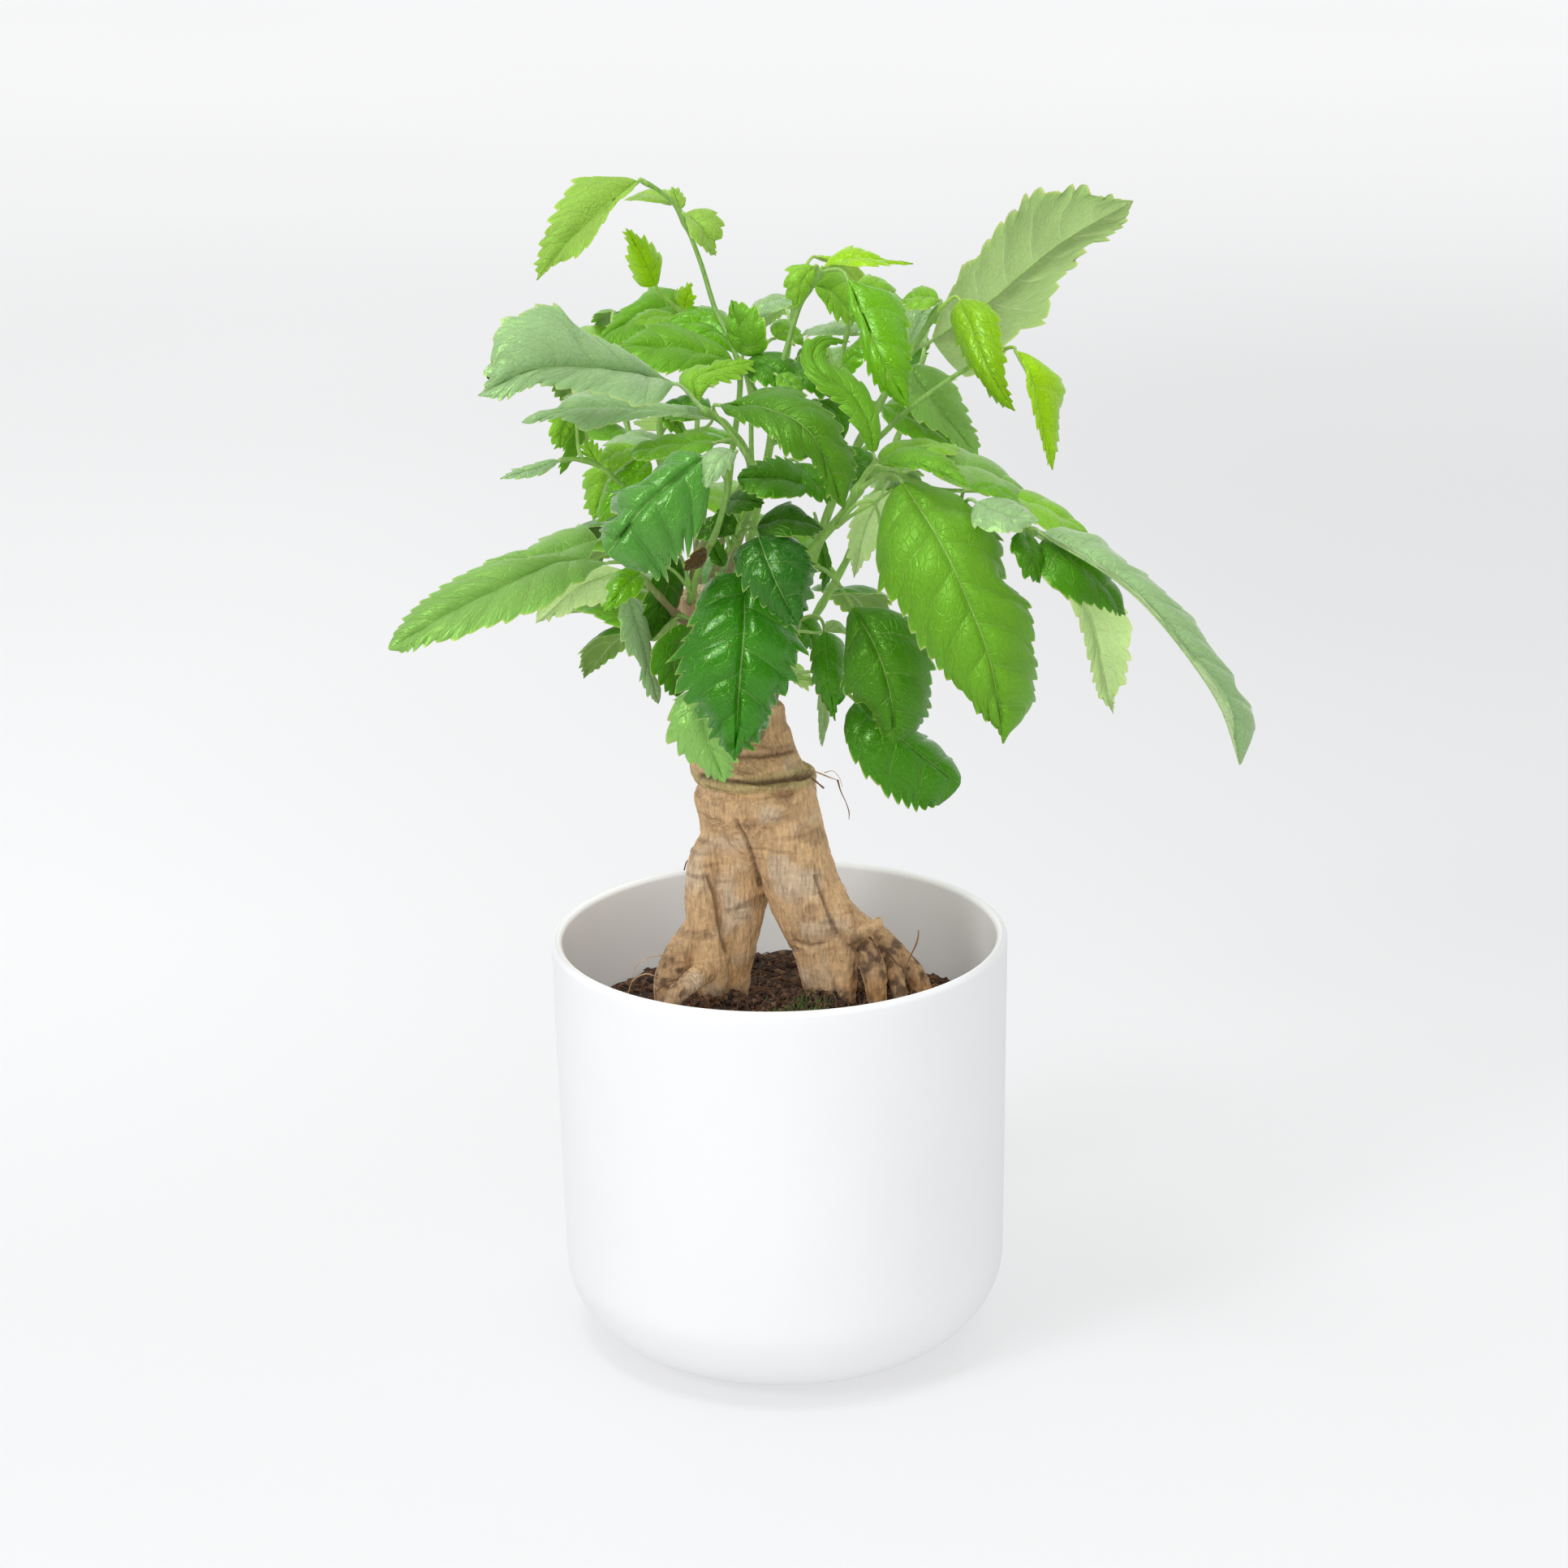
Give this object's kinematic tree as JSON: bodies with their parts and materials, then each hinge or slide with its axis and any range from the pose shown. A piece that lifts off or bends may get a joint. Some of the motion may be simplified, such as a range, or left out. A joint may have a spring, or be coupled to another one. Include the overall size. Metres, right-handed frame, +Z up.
{
  "type": "potted china doll plant",
  "caption": "Small foliage plant with a swollen root-legged stump and glossy toothed leaflets, rooted in soil in a plain white cylindrical ceramic cover pot that stands free.",
  "frame": {"origin": "centre of the pot's flat base, on the surface it stands on", "axes": "+Z up through the pot's axis, front of the pictured plant towards -Y, +X to the viewer's right"},
  "size_m": [0.2611, 0.2317, 0.3849],
  "materials": {
    "ceramic_pot": "matte white glaze",
    "potting_soil": "crumbly and fibrous",
    "bark": "tan, finely ridged, dry",
    "mature_leaves": "glossy upper side, paler matte underside",
    "young_leaves": "soft gloss, yellow-green",
    "shaded_leaves": "soft gloss, dark green"
  },
  "bodies": {
    "root": {"pot": "ceramic_pot", "soil": "potting_soil", "trunk": "bark", "branch_right": "mature_leaves", "branch_upper_right": "mature_leaves", "branch_top": "young_leaves", "branch_arching": "young_leaves", "branch_young": "young_leaves", "branch_left": "mature_leaves", "branch_lower_left": "mature_leaves", "branch_front": "mature_leaves", "branch_back_left": "shaded_leaves", "branch_back_right": "shaded_leaves", "branch_back_low": "shaded_leaves", "branch_back_top": "shaded_leaves"}
  },
  "joints": []
}
